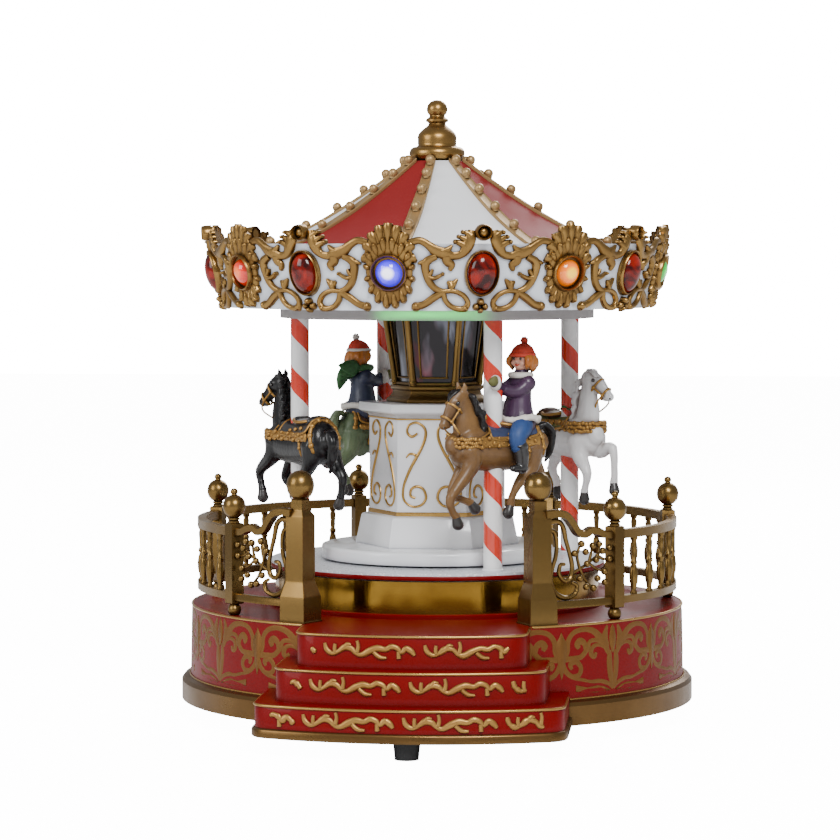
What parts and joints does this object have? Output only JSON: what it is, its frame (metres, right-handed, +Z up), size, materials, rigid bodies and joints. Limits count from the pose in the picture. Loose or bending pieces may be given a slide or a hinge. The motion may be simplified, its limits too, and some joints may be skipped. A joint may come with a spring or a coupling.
{
  "type": "wind-up music box",
  "caption": "Wind-up musical carousel: lit fairground roundabout with galloping horses on striped poles, jewelled tent canopy, fenced red base with steps.",
  "frame": {"origin": "centre of the base's flat underside, on the spin axis of the carousel", "axes": "+Z up along the spin axis; -Y towards the steps, which are the front; +X to the right as seen from the front"},
  "size_m": [0.24, 0.2799, 0.2873],
  "materials": {
    "antique_gold": "gold paint with dark wash in the recesses",
    "red_lacquer": "glossy red lacquer with gold print",
    "red_satin": "satin red paint",
    "white_satin": "satin white paint",
    "white_gloss": "glossy white moulding",
    "white_glitter": "white with fine glitter",
    "gold_foil": "mirror foil",
    "dark_mirror": "dark mirror panes",
    "striped_pole": "white with a red spiral stripe",
    "grey_plastic": "satin grey",
    "jewel_red": "clear red cabochon",
    "lens_clear": "tinted clear lens, lit",
    "horse_brown": "painted resin",
    "horse_white": "painted resin",
    "horse_black": "glossy painted resin",
    "horse_green": "painted resin",
    "girl_clothes": "painted resin",
    "boy_clothes": "painted resin",
    "black_rubber": "matte",
    "cover_plastic": "fine moulded texture",
    "dark_plastic": "satin",
    "steel": "plated",
    "movement_brass": "turned brass",
    "gear_plastic": "nylon",
    "cell_wrap": "plain wrapped cells",
    "board_green": "printed board",
    "wire_red": "insulated wire"
  },
  "bodies": {
    "base": {"rubber_feet": "black_rubber", "bottom_cover": "cover_plastic", "key_cup": "cover_plastic", "screws": "steel", "base_rim": "antique_gold", "base_shell": "red_lacquer", "step_block": "red_lacquer", "step_rim": "antique_gold", "drum_band": "gold_foil", "gate_posts": "antique_gold", "urn_posts": "antique_gold", "fence_rails": "antique_gold", "balusters": "antique_gold", "gate_panels": "antique_gold", "movement_plate": "steel", "comb": "steel", "governor_bracket": "steel", "battery_box": "dark_plastic", "battery_cells": "cell_wrap", "centre_column": "steel", "led_wires": "wire_red", "raised_disc": "white_gloss", "pedestal_plinth": "white_gloss", "pedestal_body": "white_gloss", "pedestal_cap": "white_gloss", "pedestal_scrolls": "antique_gold", "lantern_base": "antique_gold", "lantern_frame": "antique_gold", "lantern_mirrors": "dark_mirror", "canopy_plate": "white_satin", "roof_panels_red": "red_satin", "roof_panels_white": "white_satin", "roof_ribs": "antique_gold", "rib_beads": "antique_gold", "finial": "antique_gold", "rounding_board": "white_satin", "fretwork": "antique_gold", "shell_medallions": "antique_gold", "jewels": "jewel_red", "led_lenses": "lens_clear", "led_board": "board_green"},
    "carousel": {"platform": "white_glitter", "ring_gear": "gear_plastic", "poles": "striped_pole", "pole_ring": "grey_plastic", "brown_horse": "horse_brown", "white_horse": "horse_white", "black_horse": "horse_black", "green_horse": "horse_green", "saddles": "antique_gold", "girl_rider": "girl_clothes", "boy_rider": "boy_clothes"},
    "spring_drive": {"spring_barrel": "movement_brass", "mainspring": "steel", "drive_pinion": "movement_brass"},
    "music_cylinder": {"music_cylinder": "movement_brass"},
    "winding_key": {"winding_key": "steel"},
    "governor": {"governor": "movement_brass"},
    "battery_door": {"battery_door": "cover_plastic"},
    "light_switch": {"light_switch": "dark_plastic"}
  },
  "joints": [
    {"name": "carousel_spin", "type": "hinge", "parent": "base", "child": "carousel", "pos_m": [0, 0, 0.0615], "axis": [0, 0, -1], "continuous": true},
    {"name": "barrel_spin", "type": "hinge", "parent": "base", "child": "spring_drive", "pos_m": [0, 0.0585, 0.02], "axis": [0, 0, -1], "continuous": true},
    {"name": "cylinder_spin", "type": "hinge", "parent": "base", "child": "music_cylinder", "pos_m": [0.03, 0.0585, 0.0336], "axis": [-1, 0, 0], "continuous": true},
    {"name": "governor_spin", "type": "hinge", "parent": "base", "child": "governor", "pos_m": [0.0488, 0.06809, 0.02], "axis": [0, 0, 1], "continuous": true},
    {"name": "key_winding", "type": "hinge", "parent": "base", "child": "winding_key", "pos_m": [0, 0.0585, 0.004], "axis": [0, 0, -1], "range_deg": [0, 1440]},
    {"name": "battery_door_slide", "type": "slide", "parent": "base", "child": "battery_door", "axis": [-1, 0, 0], "range_m": [0, 0.058]},
    {"name": "light_switch_slide", "type": "slide", "parent": "base", "child": "light_switch", "axis": [1, 0, 0], "range_m": [0, 0.004]}
  ],
  "couplings": [
    {"joint": "barrel_spin", "follows": "carousel_spin", "ratio": 7.5},
    {"joint": "cylinder_spin", "follows": "carousel_spin", "ratio": 22.5},
    {"joint": "governor_spin", "follows": "carousel_spin", "ratio": 67.5}
  ]
}
